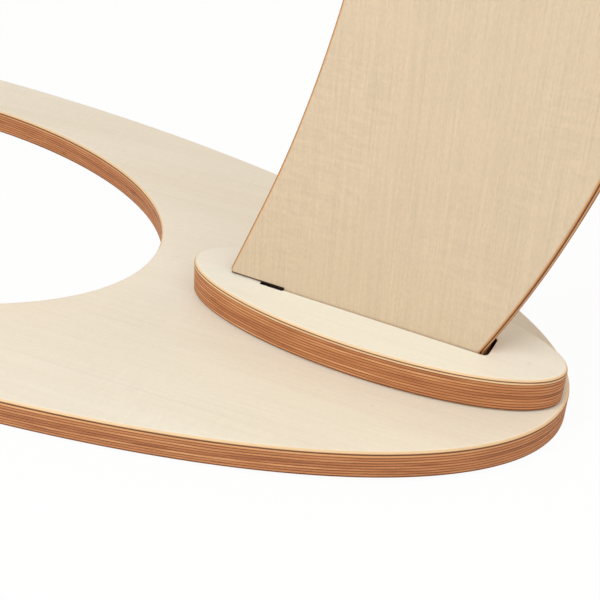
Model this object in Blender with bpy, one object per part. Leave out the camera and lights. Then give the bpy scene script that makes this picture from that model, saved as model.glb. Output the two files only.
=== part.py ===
"""Plug-together gong stand: elliptical plywood base, two curved arms and a top bridge.

Origin: on the floor under the middle of the base. +X along the base, +Y to the back, +Z up.
All sizes in metres. Blender 4.5.
"""
import math

import bmesh
import bpy
from mathutils import Matrix, Vector

# Clearances
TOUCH_GAP = 0.0003
SLOT_CLEARANCE = 0.0005
HOLE_CLEARANCE = 0.0004

# Base plate and its foot pads
BASE_HALF_LENGTH = 0.4934
BASE_HALF_WIDTH = 0.1703
BASE_THICKNESS = 0.018
WINDOW_HALF_LENGTH = 0.2246
WINDOW_HALF_WIDTH = 0.1245
PLATE_EDGE_RADIUS = 0.002
PAD_RADIUS = 0.0125
PAD_HEIGHT = 0.0025
PAD_EDGE_RADIUS = 0.0005
PAD_OUTSET = 0.0085
PAD_SIDE_GAP = 0.0215

# Support plates, one at each end of the base
SUPPORT_TIP_MARGIN = 0.0028
SUPPORT_HALF_LENGTH = 0.1141
SUPPORT_HALF_WIDTH = 0.0385
SUPPORT_THICKNESS = 0.021
POCKET_DEPTH = 0.010
SLOT_CORNER_RADIUS = 0.003

# Screws that hold each support plate from below
SCREW_SPACING_X = 0.100
SCREW_SPACING_Y = 0.044
SCREW_SHANK_RADIUS = 0.002
SCREW_HEAD_RADIUS = 0.0042
SCREW_HEAD_HEIGHT = 0.0026
SCREW_LENGTH = 0.034
SCREW_SINK = 0.0004
SCREW_SOCKET_RADIUS = 0.0016
SCREW_SOCKET_DEPTH = 0.0015

# Arms, cut from one thickness of plywood, upright in the XZ plane
ARM_THICKNESS = 0.018
ARM_EDGE_RADIUS = 0.004
ARM_SHOULDER = 0.0363
TENON_WIDTH = 0.121
TENON_FLOOR_GAP = 0.001
FOOT_SLOT_INNER_PLAY = 0.0155
FOOT_SLOT_OUTER_PLAY = 0.0025
FOOT_SLOT_OUTSET = 0.0025
ARM_RISE = 0.880
INNER_LEAN = math.radians(68.56)
INNER_STRAIGHT = 0.051
OUTER_LEAN = math.radians(63.9)
OUTER_FOOT_RADIUS = 0.67
OUTER_FOOT_RUN = 0.27
ARM_TOP_INNER_X = 0.204
ARM_TOP_WIDTH = 0.1245
TENON_CORNER_RADIUS = 0.005
TOP_TENON_WIDTH = 0.100
TOP_TENON_PROUD = 0.012

# Top bridge
BRIDGE_END_MARGIN = 0.064
BRIDGE_HALF_WIDTH = 0.046
BRIDGE_THICKNESS = 0.021
TOP_SLOT_PLAY = 0.001

# Hanging hardware under the bridge
EYE_INSET = 0.084
BOLT_RADIUS = 0.004
BOLT_PROUD = 0.0085
WASHER_RADIUS = 0.011
WASHER_THICKNESS = 0.0016
COLLAR_RADIUS = 0.0075
COLLAR_HEIGHT = 0.004
EYE_RADIUS = 0.013
EYE_WIRE_RADIUS = 0.003
NUT_ACROSS_FLATS = 0.013
NUT_HEX_HEIGHT = 0.0065
NUT_DOME_RADIUS = 0.0058
NUT_WALL = 0.0015
RING_RADIUS = 0.020
RING_WIRE_RADIUS = 0.0025

# Facets
BASE_SIDES = 96
SUPPORT_SIDES = 64
BRIDGE_SIDES = 72
ROUND_STEPS = 2
ARM_ROUND_STEPS = 3
ARC_STEPS = 30
FOOT_ARC_STEPS = 10
UPPER_ARC_STEPS = 22
CORNER_STEPS = 4
SMALL_SIDES = 16
HEX_SIDES = 6
DOME_STEPS = 5
PAD_SIDES = 24
WIRE_SIDES = 10
EYE_SIDES = 24
RING_SIDES = 32
SOFT_ANGLE = math.radians(35)
HALF_STEP = math.pi / SMALL_SIDES
CUTTER_MARGIN = 0.002

# Heights of the seats, from the floor up
BASE_BOTTOM = PAD_HEIGHT + TOUCH_GAP
BASE_TOP = BASE_BOTTOM + BASE_THICKNESS
SUPPORT_BOTTOM = BASE_TOP + TOUCH_GAP
SUPPORT_TOP = SUPPORT_BOTTOM + SUPPORT_THICKNESS
ARM_SEAT = SUPPORT_TOP + TOUCH_GAP
TENON_BOTTOM = BASE_TOP - POCKET_DEPTH + TENON_FLOOR_GAP
ARM_SHOULDER_TOP = ARM_SEAT + ARM_RISE
BRIDGE_BOTTOM = ARM_SHOULDER_TOP + TOUCH_GAP
BRIDGE_TOP = BRIDGE_BOTTOM + BRIDGE_THICKNESS
TENON_TOP = BRIDGE_TOP + TOP_TENON_PROUD

# Places along the base, for the right-hand side
SUPPORT_CENTRE_X = BASE_HALF_LENGTH - SUPPORT_TIP_MARGIN - SUPPORT_HALF_LENGTH
FOOT_SLOT_CENTRE_X = SUPPORT_CENTRE_X + FOOT_SLOT_OUTSET
FOOT_SLOT_HALF_LENGTH = (FOOT_SLOT_INNER_PLAY + TENON_WIDTH + FOOT_SLOT_OUTER_PLAY) / 2
ARM_TENON_INNER_X = FOOT_SLOT_CENTRE_X - FOOT_SLOT_HALF_LENGTH + FOOT_SLOT_INNER_PLAY
ARM_FOOT_INNER_X = ARM_TENON_INNER_X - ARM_SHOULDER
ARM_FOOT_OUTER_X = ARM_TENON_INNER_X + TENON_WIDTH
SLOT_HALF_WIDTH = ARM_THICKNESS / 2 + SLOT_CLEARANCE
EYE_X = ARM_TOP_INNER_X - EYE_INSET


def clear_scene():
    for thing in list(bpy.data.objects):
        bpy.data.objects.remove(thing, do_unlink=True)


def make_material(name, colour, roughness, metallic=0.0):
    material = bpy.data.materials.new(name)
    material.use_nodes = True
    shader = material.node_tree.nodes["Principled BSDF"]
    shader.inputs["Base Color"].default_value = (*colour, 1.0)
    shader.inputs["Roughness"].default_value = roughness
    shader.inputs["Metallic"].default_value = metallic
    return material


def new_object(name, mesh_maker, material=None, location=(0, 0, 0)):
    """Turn a finished bmesh into a named object."""
    bmesh.ops.recalc_face_normals(mesh_maker, faces=mesh_maker.faces)
    mesh = bpy.data.meshes.new(name)
    mesh_maker.to_mesh(mesh)
    mesh_maker.free()
    mesh.shade_smooth()
    mesh.set_sharp_from_angle(angle=SOFT_ANGLE)
    thing = bpy.data.objects.new(name, mesh)
    bpy.context.collection.objects.link(thing)
    thing.location = location
    if material:
        mesh.materials.append(material)
    return thing


def cut(target, cutter, operation="DIFFERENCE"):
    """Cut one object with another, which stays as a hidden guide."""
    modifier = target.modifiers.new(cutter.name, "BOOLEAN")
    modifier.operation = operation
    modifier.solver = "EXACT"
    modifier.object = cutter
    cutter.hide_render = True
    cutter.display_type = "WIRE"


def round_edges(target, width):
    """Round the edges that the mesh marks with a bevel weight."""
    modifier = target.modifiers.new("edge_round", "BEVEL")
    modifier.limit_method = "WEIGHT"
    modifier.width = width
    modifier.segments = ROUND_STEPS
    modifier.use_clamp_overlap = False


def ellipse(half_length, half_width, sides):
    turn = 2 * math.pi / sides
    return [(half_length * math.cos(i * turn), half_width * math.sin(i * turn)) for i in range(sides)]


def rounded_slot(half_length, half_width, corner):
    """Outline of a slot with square ends and small round corners."""
    points = []
    for number in range(4):
        start = number * math.pi / 2
        side_x = 1 if number in (0, 3) else -1
        side_y = 1 if number in (0, 1) else -1
        centre = (side_x * (half_length - corner), side_y * (half_width - corner))
        for step in range(CORNER_STEPS + 1):
            angle = start + step * math.pi / 2 / CORNER_STEPS
            points.append((centre[0] + corner * math.cos(angle), centre[1] + corner * math.sin(angle)))
    return points


def mark_rims(maker, height):
    """Give a bevel weight to the edges around the two flat ends of an extrusion along Z."""
    layer = maker.edges.layers.float.new("bevel_weight_edge")
    for edge in maker.edges:
        level = all(abs(abs(v.co.z) - height / 2) < 1e-6 for v in edge.verts)
        same_end = abs(edge.verts[0].co.z - edge.verts[1].co.z) < 1e-6
        wall = any(abs(face.normal.z) < 0.5 for face in edge.link_faces)
        if level and same_end and wall:
            edge[layer] = 1.0


def extrude_outline(outline, height, rounded=True):
    """Solid of one outline, centred on its own XY plane."""
    maker = bmesh.new()
    corners = [maker.verts.new((x, y, -height / 2)) for x, y in outline]
    face = maker.faces.new(corners)
    grown = bmesh.ops.extrude_face_region(maker, geom=[face])
    raised = [item for item in grown["geom"] if isinstance(item, bmesh.types.BMVert)]
    bmesh.ops.translate(maker, verts=raised, vec=(0, 0, height))
    bmesh.ops.recalc_face_normals(maker, faces=maker.faces)
    if rounded:
        maker.normal_update()
        mark_rims(maker, height)
    return maker


def extrude_frame(outer, inner, height):
    """Solid between two outlines with the same number of points."""
    maker = bmesh.new()
    rings = []
    for outline, z in ((outer, -height / 2), (outer, height / 2), (inner, height / 2), (inner, -height / 2)):
        rings.append([maker.verts.new((x, y, z)) for x, y in outline])
    for ring, following in zip(rings, rings[1:] + rings[:1]):
        for i in range(len(ring)):
            j = (i + 1) % len(ring)
            maker.faces.new((ring[i], ring[j], following[j], following[i]))
    bmesh.ops.recalc_face_normals(maker, faces=maker.faces)
    maker.normal_update()
    mark_rims(maker, height)
    return maker


def turned(profile, sides, start=0.0):
    """Solid of revolution around Z from (radius, height) points, bottom to top, from an angle on."""
    maker = bmesh.new()
    across = Vector((math.cos(start), math.sin(start), 0))
    points = [maker.verts.new(across * radius + Vector((0, 0, height))) for radius, height in profile]
    edges = [maker.edges.new(pair) for pair in zip(points, points[1:])]
    bmesh.ops.spin(maker, geom=points + edges, cent=(0, 0, 0), axis=(0, 0, 1), angle=2 * math.pi,
                   steps=sides, use_merge=True)
    bmesh.ops.remove_doubles(maker, verts=maker.verts, dist=1e-6)
    return maker


def tube(inner_radius, outer_radius, height, sides):
    """Ring with a square section, standing on Z = 0."""
    profile = [(inner_radius, 0), (outer_radius, 0), (outer_radius, height), (inner_radius, height),
               (inner_radius, 0)]
    return turned(profile, sides)


def torus(radius, wire_radius, sides):
    """Round wire ring in the XZ plane, centred on the origin."""
    maker = bmesh.new()
    turn = 2 * math.pi / sides
    step = 2 * math.pi / WIRE_SIDES
    rings = []
    for i in range(sides):
        ring = []
        for k in range(WIRE_SIDES):
            reach = radius + wire_radius * math.cos(k * step)
            place = (reach * math.cos(i * turn), wire_radius * math.sin(k * step), reach * math.sin(i * turn))
            ring.append(maker.verts.new(place))
        rings.append(ring)
    for i in range(sides):
        for k in range(WIRE_SIDES):
            ahead = rings[(i + 1) % sides]
            maker.faces.new((rings[i][k], rings[i][(k + 1) % WIRE_SIDES], ahead[(k + 1) % WIRE_SIDES], ahead[k]))
    return maker


def slot_cutter(name, outline, centre_x, low, high):
    maker = extrude_outline(outline, high - low, rounded=False)
    return new_object(name, maker, location=(centre_x, 0, (low + high) / 2))


def screw_places(side):
    """Places of the four screws of one support plate."""
    places = []
    for step_x in (-1, 1):
        for step_y in (-1, 1):
            x = side * SUPPORT_CENTRE_X + step_x * SCREW_SPACING_X / 2
            places.append((x, step_y * SCREW_SPACING_Y / 2))
    return places


def screw_profile(grow):
    """Side view of a countersunk screw, head down, larger by a clearance when it is a hole."""
    bottom = -CUTTER_MARGIN if grow else SCREW_SINK
    head = SCREW_HEAD_RADIUS + grow
    shank = SCREW_SHANK_RADIUS + grow
    neck = SCREW_SINK + SCREW_HEAD_HEIGHT
    tip = SCREW_SINK + SCREW_LENGTH
    taper = 2 * SCREW_SHANK_RADIUS
    return [(0, bottom), (head, bottom), (head, SCREW_SINK + grow), (shank, neck + grow),
            (shank, tip - taper + grow), (0, tip + 2 * grow)]


def pad_places():
    mid_y = (BASE_HALF_WIDTH + WINDOW_HALF_WIDTH) / 2
    end_x = SUPPORT_CENTRE_X + PAD_OUTSET
    end_y = SUPPORT_HALF_WIDTH + PAD_SIDE_GAP
    ends = [(x, y) for x in (-end_x, end_x) for y in (-end_y, end_y)]
    return ends + [(0, -mid_y), (0, mid_y)]


def build_base(wood):
    outer = ellipse(BASE_HALF_LENGTH, BASE_HALF_WIDTH, BASE_SIDES)
    inner = ellipse(WINDOW_HALF_LENGTH, WINDOW_HALF_WIDTH, BASE_SIDES)
    maker = extrude_frame(outer, inner, BASE_THICKNESS)
    base = new_object("base_plate", maker, wood, (0, 0, BASE_BOTTOM + BASE_THICKNESS / 2))
    round_edges(base, PLATE_EDGE_RADIUS)
    outline = rounded_slot(FOOT_SLOT_HALF_LENGTH, SLOT_HALF_WIDTH, SLOT_CORNER_RADIUS)
    for side, label in ((-1, "left"), (1, "right")):
        pocket = slot_cutter(label + "_pocket_cutter", outline, side * FOOT_SLOT_CENTRE_X,
                             BASE_TOP - POCKET_DEPTH, BASE_TOP + CUTTER_MARGIN)
        cut(base, pocket)
        for number, (x, y) in enumerate(screw_places(side), 1):
            hole = new_object(f"{label}_hole_cutter_{number}",
                              turned(screw_profile(HOLE_CLEARANCE), SMALL_SIDES), location=(x, y, BASE_BOTTOM))
            cut(base, hole)
            cut(bpy.data.objects[label + "_support"], hole)
    return base


def build_support(label, side, wood):
    outline = ellipse(SUPPORT_HALF_LENGTH, SUPPORT_HALF_WIDTH, SUPPORT_SIDES)
    maker = extrude_outline(outline, SUPPORT_THICKNESS)
    middle = SUPPORT_BOTTOM + SUPPORT_THICKNESS / 2
    support = new_object(label + "_support", maker, wood, (side * SUPPORT_CENTRE_X, 0, middle))
    round_edges(support, PLATE_EDGE_RADIUS)
    slot = rounded_slot(FOOT_SLOT_HALF_LENGTH, SLOT_HALF_WIDTH, SLOT_CORNER_RADIUS)
    cutter = slot_cutter(label + "_slot_cutter", slot, side * FOOT_SLOT_CENTRE_X,
                         SUPPORT_BOTTOM - CUTTER_MARGIN, SUPPORT_TOP + CUTTER_MARGIN)
    cut(support, cutter)
    return support


def build_screws(label, side, steel):
    """Countersunk screws up through the base into the support plate."""
    for number, (x, y) in enumerate(screw_places(side), 1):
        screw = new_object(f"{label}_support_screw_{number}", turned(screw_profile(0), SMALL_SIDES), steel,
                           (x, y, BASE_BOTTOM))
        socket = new_object(f"{label}_socket_cutter_{number}",
                            turned([(0, -CUTTER_MARGIN), (SCREW_SOCKET_RADIUS, -CUTTER_MARGIN),
                                    (SCREW_SOCKET_RADIUS, SCREW_SINK + SCREW_SOCKET_DEPTH),
                                    (0, SCREW_SINK + SCREW_SOCKET_DEPTH)], HEX_SIDES, HALF_STEP),
                            location=(x, y, BASE_BOTTOM))
        cut(screw, socket)


def build_pads(felt):
    edge = PAD_EDGE_RADIUS
    profile = [(0, 0), (PAD_RADIUS - edge, 0), (PAD_RADIUS, edge), (PAD_RADIUS, PAD_HEIGHT), (0, PAD_HEIGHT)]
    for number, (x, y) in enumerate(pad_places(), 1):
        new_object(f"foot_pad_{number}", turned(profile, PAD_SIDES), felt, (x, y, 0))


def corner_arc(before, corner, after, radius):
    """Points of a small round corner between two straight edges."""
    corner = Vector(corner)
    back = (Vector(before) - corner).normalized()
    ahead = (Vector(after) - corner).normalized()
    half = back.angle(ahead) / 2
    centre = corner + (back + ahead).normalized() * radius / math.sin(half)
    start = corner + back * radius / math.tan(half) - centre
    sweep = math.pi - 2 * half
    turn = 1 if back.x * ahead.y - back.y * ahead.x < 0 else -1
    points = []
    for step in range(CORNER_STEPS + 1):
        spin = Matrix.Rotation(turn * sweep * step / CORNER_STEPS, 2)
        points.append(tuple(centre + spin @ start))
    return points


def arc_from_tangent(start, lean, end, steps):
    """Arc that leaves its start at a lean from the horizontal, bends inwards and meets its end."""
    inward = Vector((-math.sin(lean), math.cos(lean)))
    chord = Vector(end) - Vector(start)
    radius = chord.length_squared / (2 * chord.dot(inward))
    centre = Vector(start) + radius * inward
    first = lean - math.pi / 2
    last = math.atan2(end[1] - centre.y, end[0] - centre.x)
    points = []
    for step in range(steps + 1):
        angle = first + (last - first) * step / steps
        points.append((centre.x + radius * math.cos(angle), centre.y + radius * math.sin(angle)))
    return points


def outer_edge():
    """Curve of the arm's outer edge, foot to top: a tighter arc at the foot runs into a wider one."""
    lean = OUTER_LEAN + OUTER_FOOT_RUN / OUTER_FOOT_RADIUS
    foot = (ARM_FOOT_OUTER_X, 0)
    knee = (ARM_FOOT_OUTER_X + OUTER_FOOT_RADIUS * (math.sin(lean) - math.sin(OUTER_LEAN)),
            OUTER_FOOT_RADIUS * (math.cos(OUTER_LEAN) - math.cos(lean)))
    top = (ARM_TOP_INNER_X + ARM_TOP_WIDTH, ARM_RISE)
    lower = arc_from_tangent(foot, OUTER_LEAN, knee, FOOT_ARC_STEPS)
    return lower[:-1] + arc_from_tangent(knee, lean, top, UPPER_ARC_STEPS)


def inner_edge():
    """Curve of the arm's inner edge above its straight run at the foot, as one arc."""
    run_x = ARM_FOOT_INNER_X + INNER_STRAIGHT * math.cos(INNER_LEAN)
    run_z = INNER_STRAIGHT * math.sin(INNER_LEAN)
    return arc_from_tangent((run_x, run_z), INNER_LEAN, (ARM_TOP_INNER_X, ARM_RISE), ARC_STEPS)


def top_tenon_span():
    """Inner and outer X of the tenon at the top, centred on the arm's width there."""
    middle = ARM_TOP_INNER_X + ARM_TOP_WIDTH / 2
    return middle - TOP_TENON_WIDTH / 2, middle + TOP_TENON_WIDTH / 2


def inset_outline(outline, square_sides, inset):
    """Outline drawn in by an inset, except along its square sides, which stay on their lines."""
    count = len(outline)
    sides = []
    for i in range(count):
        step_x = outline[(i + 1) % count][0] - outline[i][0]
        step_y = outline[(i + 1) % count][1] - outline[i][1]
        length = math.hypot(step_x, step_y)
        sides.append((-step_y / length, step_x / length, 0 if i in square_sides else inset))
    points = []
    for i in range(count):
        first_x, first_y, first = sides[i - 1]
        next_x, next_y, following = sides[i]
        cross = first_x * next_y - first_y * next_x
        if abs(cross) > 1e-6:
            shift = ((first * next_y - following * first_y) / cross, (following * first_x - first * next_x) / cross)
        else:
            shift = (first_x * first, first_y * first)
        points.append((outline[i][0] + shift[0], outline[i][1] + shift[1]))
    return points


def extrude_rounded(outline, square_sides, height, radius):
    """Solid of one outline, centred on its own XY plane, with a quarter round on all but its square sides."""
    levels = []
    for step in range(ARM_ROUND_STEPS + 1):
        angle = step * math.pi / 2 / ARM_ROUND_STEPS
        levels.append((radius * (1 - math.sin(angle)), radius * (1 - math.cos(angle)) - height / 2))
    levels += [(inset, -z) for inset, z in reversed(levels)]
    maker = bmesh.new()
    rings = []
    for inset, z in levels:
        rings.append([maker.verts.new((x, y, z)) for x, y in inset_outline(outline, square_sides, inset)])
    for ring, following in zip(rings, rings[1:]):
        for i in range(len(ring)):
            j = (i + 1) % len(ring)
            maker.faces.new((ring[i], ring[j], following[j], following[i]))
    maker.faces.new(rings[0])
    maker.faces.new(rings[-1])
    bmesh.ops.recalc_face_normals(maker, faces=maker.faces)
    return maker


def arm_outline():
    """Outline of the right arm in X and height above its seat, round from the foot tenon.

    Also gives the numbers of its square sides, the shoulders that seat on the plates.
    """
    outer = outer_edge()
    inner = inner_edge()[::-1]
    top_in, top_out = top_tenon_span()
    foot = TENON_BOTTOM - ARM_SEAT
    head = TENON_TOP - ARM_SEAT
    inner_foot = (ARM_FOOT_INNER_X, 0)
    tenon_in_low = (ARM_TENON_INNER_X, foot)
    tenon_out_low = (ARM_FOOT_OUTER_X, foot)
    tenon_in_root = (ARM_TENON_INNER_X, 0)
    top_root_out = (top_out, ARM_RISE)
    top_root_in = (top_in, ARM_RISE)
    top_tip_out = (top_out, head)
    top_tip_in = (top_in, head)
    points = corner_arc(tenon_in_root, tenon_in_low, tenon_out_low, TENON_CORNER_RADIUS)
    points += corner_arc(tenon_in_low, tenon_out_low, outer[0], TENON_CORNER_RADIUS)
    points += outer
    square_sides = [len(points) - 1]
    points += [top_root_out]
    points += corner_arc(top_root_out, top_tip_out, top_tip_in, TENON_CORNER_RADIUS)
    points += corner_arc(top_tip_out, top_tip_in, top_root_in, TENON_CORNER_RADIUS)
    points += [top_root_in]
    square_sides.append(len(points) - 1)
    points += inner
    points += [inner_foot, tenon_in_root]
    square_sides.append(len(points) - 2)
    return points, square_sides


def build_arm(label, side, wood):
    outline, square_sides = arm_outline()
    maker = extrude_rounded(outline, square_sides, ARM_THICKNESS, ARM_EDGE_RADIUS)
    upright = Matrix.Rotation(math.pi / 2, 4, "X")
    mirror = Matrix.Scale(side, 4, Vector((1, 0, 0)))
    bmesh.ops.transform(maker, matrix=mirror @ upright, verts=maker.verts)
    new_object(label + "_arm", maker, wood, (0, 0, ARM_SEAT))


def build_bridge(wood):
    low, high = top_tenon_span()
    outline = ellipse(high + BRIDGE_END_MARGIN, BRIDGE_HALF_WIDTH, BRIDGE_SIDES)
    middle = BRIDGE_BOTTOM + BRIDGE_THICKNESS / 2
    bridge = new_object("top_bridge", extrude_outline(outline, BRIDGE_THICKNESS), wood, (0, 0, middle))
    round_edges(bridge, PLATE_EDGE_RADIUS)
    half_length = (high - low) / 2 + TOP_SLOT_PLAY
    slot = rounded_slot(half_length, SLOT_HALF_WIDTH, SLOT_CORNER_RADIUS)
    for side, label in ((-1, "left"), (1, "right")):
        cutter = slot_cutter(label + "_top_slot_cutter", slot, side * (low + high) / 2,
                             BRIDGE_BOTTOM - CUTTER_MARGIN, BRIDGE_TOP + CUTTER_MARGIN)
        cut(bridge, cutter)
        bolt_hole = turned([(0, -CUTTER_MARGIN), (BOLT_RADIUS + HOLE_CLEARANCE, -CUTTER_MARGIN),
                            (BOLT_RADIUS + HOLE_CLEARANCE, BRIDGE_THICKNESS + CUTTER_MARGIN),
                            (0, BRIDGE_THICKNESS + CUTTER_MARGIN)], SMALL_SIDES)
        cut(bridge, new_object(label + "_bolt_hole_cutter", bolt_hole, location=(side * EYE_X, 0, BRIDGE_BOTTOM)))
    return bridge


def eye_centre_height():
    collar_bottom = BRIDGE_BOTTOM - 2 * TOUCH_GAP - WASHER_THICKNESS - COLLAR_HEIGHT
    return collar_bottom - EYE_RADIUS


def build_eyebolt(label, side, steel):
    """Eye bolt up through the bridge, with a washer on each face and a cap nut on top."""
    x = side * EYE_X
    lower_washer = BRIDGE_BOTTOM - TOUCH_GAP - WASHER_THICKNESS
    upper_washer = BRIDGE_TOP + TOUCH_GAP
    collar_top = lower_washer - TOUCH_GAP
    nut_bottom = upper_washer + WASHER_THICKNESS + TOUCH_GAP
    bolt_top = nut_bottom + BOLT_PROUD
    eye_z = eye_centre_height()
    eyebolt = new_object(label + "_eyebolt", torus(EYE_RADIUS, EYE_WIRE_RADIUS, EYE_SIDES), steel, (x, 0, eye_z))
    shank = turned([(0, eye_z + EYE_RADIUS), (COLLAR_RADIUS, collar_top - COLLAR_HEIGHT),
                    (COLLAR_RADIUS, collar_top), (BOLT_RADIUS, collar_top), (BOLT_RADIUS, bolt_top),
                    (0, bolt_top)], SMALL_SIDES, HALF_STEP)
    cut(eyebolt, new_object(label + "_shank_union", shank, location=(x, 0, 0)), "UNION")
    for name, height in (("lower", lower_washer), ("upper", upper_washer)):
        washer = tube(BOLT_RADIUS + HOLE_CLEARANCE, WASHER_RADIUS, WASHER_THICKNESS, SMALL_SIDES)
        new_object(f"{label}_{name}_washer", washer, steel, (x, 0, height))
    build_cap_nut(label, x, nut_bottom, steel)


def build_cap_nut(label, x, bottom, steel):
    corner = NUT_ACROSS_FLATS / math.sqrt(3)
    hexagon = turned([(0, 0), (corner, 0), (corner, NUT_HEX_HEIGHT), (0, NUT_HEX_HEIGHT)], HEX_SIDES)
    nut = new_object(label + "_cap_nut", hexagon, steel, (x, 0, bottom))
    dome = [(0, NUT_HEX_HEIGHT / 2), (NUT_DOME_RADIUS, NUT_HEX_HEIGHT / 2)]
    for step in range(DOME_STEPS + 1):
        angle = step * math.pi / 2 / DOME_STEPS
        dome.append((NUT_DOME_RADIUS * math.cos(angle), NUT_HEX_HEIGHT + NUT_DOME_RADIUS * math.sin(angle)))
    cut(nut, new_object(label + "_dome_union", turned(dome, SMALL_SIDES, HALF_STEP), location=(x, 0, bottom)), "UNION")
    bore_top = BOLT_PROUD + NUT_WALL
    bore = turned([(0, -CUTTER_MARGIN), (BOLT_RADIUS + HOLE_CLEARANCE, -CUTTER_MARGIN),
                   (BOLT_RADIUS + HOLE_CLEARANCE, bore_top), (0, bore_top)], SMALL_SIDES, HALF_STEP)
    cut(nut, new_object(label + "_nut_bore_cutter", bore, location=(x, 0, bottom)))


def ring_pivot_height():
    """Middle of the eye's lowest wire, which the ring swings around."""
    return eye_centre_height() - EYE_RADIUS


def build_ring(label, side, steel):
    """Loose ring in the eye, square to it, with its origin on the wire it swings around."""
    maker = torus(RING_RADIUS, RING_WIRE_RADIUS, RING_SIDES)
    drop = RING_RADIUS - EYE_WIRE_RADIUS - RING_WIRE_RADIUS - TOUCH_GAP
    turn = Matrix.Rotation(math.pi / 2, 4, "Z")
    bmesh.ops.transform(maker, matrix=Matrix.Translation((0, 0, -drop)) @ turn, verts=maker.verts)
    new_object(label + "_ring", maker, steel, (side * EYE_X, 0, ring_pivot_height()))


def main():
    clear_scene()
    plate_wood = make_material("maple_faced_plywood", (0.78, 0.66, 0.48), 0.45)
    arm_wood = make_material("maple_faced_plywood_arm", (0.72, 0.57, 0.39), 0.45)
    zinc = make_material("zinc_plated_steel", (0.62, 0.60, 0.55), 0.35, 1.0)
    stainless = make_material("stainless_steel", (0.70, 0.70, 0.70), 0.25, 1.0)
    felt = make_material("grey_felt", (0.12, 0.12, 0.12), 0.95)
    for side, label in ((-1, "left"), (1, "right")):
        build_support(label, side, plate_wood)
        build_screws(label, side, zinc)
        build_arm(label, side, arm_wood)
        build_eyebolt(label, side, stainless)
        build_ring(label, side, stainless)
    build_base(plate_wood)
    build_pads(felt)
    build_bridge(plate_wood)


main()
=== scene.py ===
"""Looks of a plug-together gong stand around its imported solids: an elliptical plywood base, two
curved arms in slotted support plates, and a top bridge with eye bolts and swinging rings.

Everything is in metres and in the solids' own frame: +X along the base, +Y to the back, +Z up.
"""
import math
from collections import namedtuple

import bmesh
import bpy
from bpy.props import FloatProperty, FloatVectorProperty, IntProperty, PointerProperty
from mathutils import Matrix, Vector


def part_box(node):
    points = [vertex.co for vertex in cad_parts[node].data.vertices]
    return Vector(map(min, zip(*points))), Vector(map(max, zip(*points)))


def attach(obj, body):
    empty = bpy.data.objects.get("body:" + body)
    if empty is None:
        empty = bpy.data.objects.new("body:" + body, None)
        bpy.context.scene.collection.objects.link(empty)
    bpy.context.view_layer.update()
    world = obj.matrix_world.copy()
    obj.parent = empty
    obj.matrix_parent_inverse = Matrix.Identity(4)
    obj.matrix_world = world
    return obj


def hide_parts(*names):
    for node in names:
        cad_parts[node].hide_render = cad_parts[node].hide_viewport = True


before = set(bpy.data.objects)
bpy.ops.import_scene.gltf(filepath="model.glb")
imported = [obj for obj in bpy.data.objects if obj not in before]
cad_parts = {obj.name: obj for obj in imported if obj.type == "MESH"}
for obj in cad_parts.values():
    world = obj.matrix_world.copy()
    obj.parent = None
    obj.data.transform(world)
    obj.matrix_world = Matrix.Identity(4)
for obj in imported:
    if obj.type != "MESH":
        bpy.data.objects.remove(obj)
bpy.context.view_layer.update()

bl_info = {
    "name": "Gong Stand",
    "version": (1, 0, 0),
    "blender": (4, 5, 0),
    "location": "3D View > Sidebar > Gong Stand",
    "description": "Models and finishes a plug-together plywood gong stand",
    "category": "Add Mesh",
}

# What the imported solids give
BASE_LOW, BASE_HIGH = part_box("base_plate")
SUPPORT_LOW, SUPPORT_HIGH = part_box("right_support")
ARM_LOW, ARM_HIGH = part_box("right_arm")
BRIDGE_LOW, BRIDGE_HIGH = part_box("top_bridge")
EYE_LOW, EYE_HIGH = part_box("right_eyebolt")
RING_LOW, RING_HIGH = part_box("right_ring")
NUT_LOW, NUT_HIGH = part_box("right_cap_nut")
SCREW_LOW, SCREW_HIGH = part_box("right_support_screw_1")
SCREWS = [f"{side}_support_screw_{number}" for side in ("left", "right") for number in range(1, 5)]
RIGHT_SCREWS = SCREWS[4:]
PADS = [f"foot_pad_{number}" for number in range(1, 7)]

# Small distances, the angle below which faces are smoothed, and the colours of the light
TINY = 1e-5
SEAT_GAP = 0.0003
OVERSHOOT = 0.002
SCREW_CLEARANCE = 0.0004
SMOOTH_BELOW = math.radians(32)
COOL_LIGHT = (0.91, 0.96, 1.0)
WARM_LIGHT = (1.0, 0.58, 0.28)


def distance(name, description, default):
    """Length setting, in metres."""
    return FloatProperty(name=name, description=description, default=default, min=0.0, precision=4,
                         subtype="DISTANCE", unit="LENGTH")


def angle(name, description, degrees):
    """Angle setting, written in degrees."""
    return FloatProperty(name=name, description=description, default=math.radians(degrees),
                         subtype="ANGLE", unit="ROTATION")


def tone(name, description, red, green, blue):
    """Colour setting, written as the 0 to 255 values that a screen shows and stored as light."""
    linear = []
    for value in (red, green, blue):
        share = value / 255
        linear.append(share / 12.92 if share <= 0.04045 else ((share + 0.055) / 1.055) ** 2.4)
    return FloatVectorProperty(name=name, description=description, default=linear, size=3, min=0.0,
                               max=1.0, subtype="COLOR")


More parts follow.
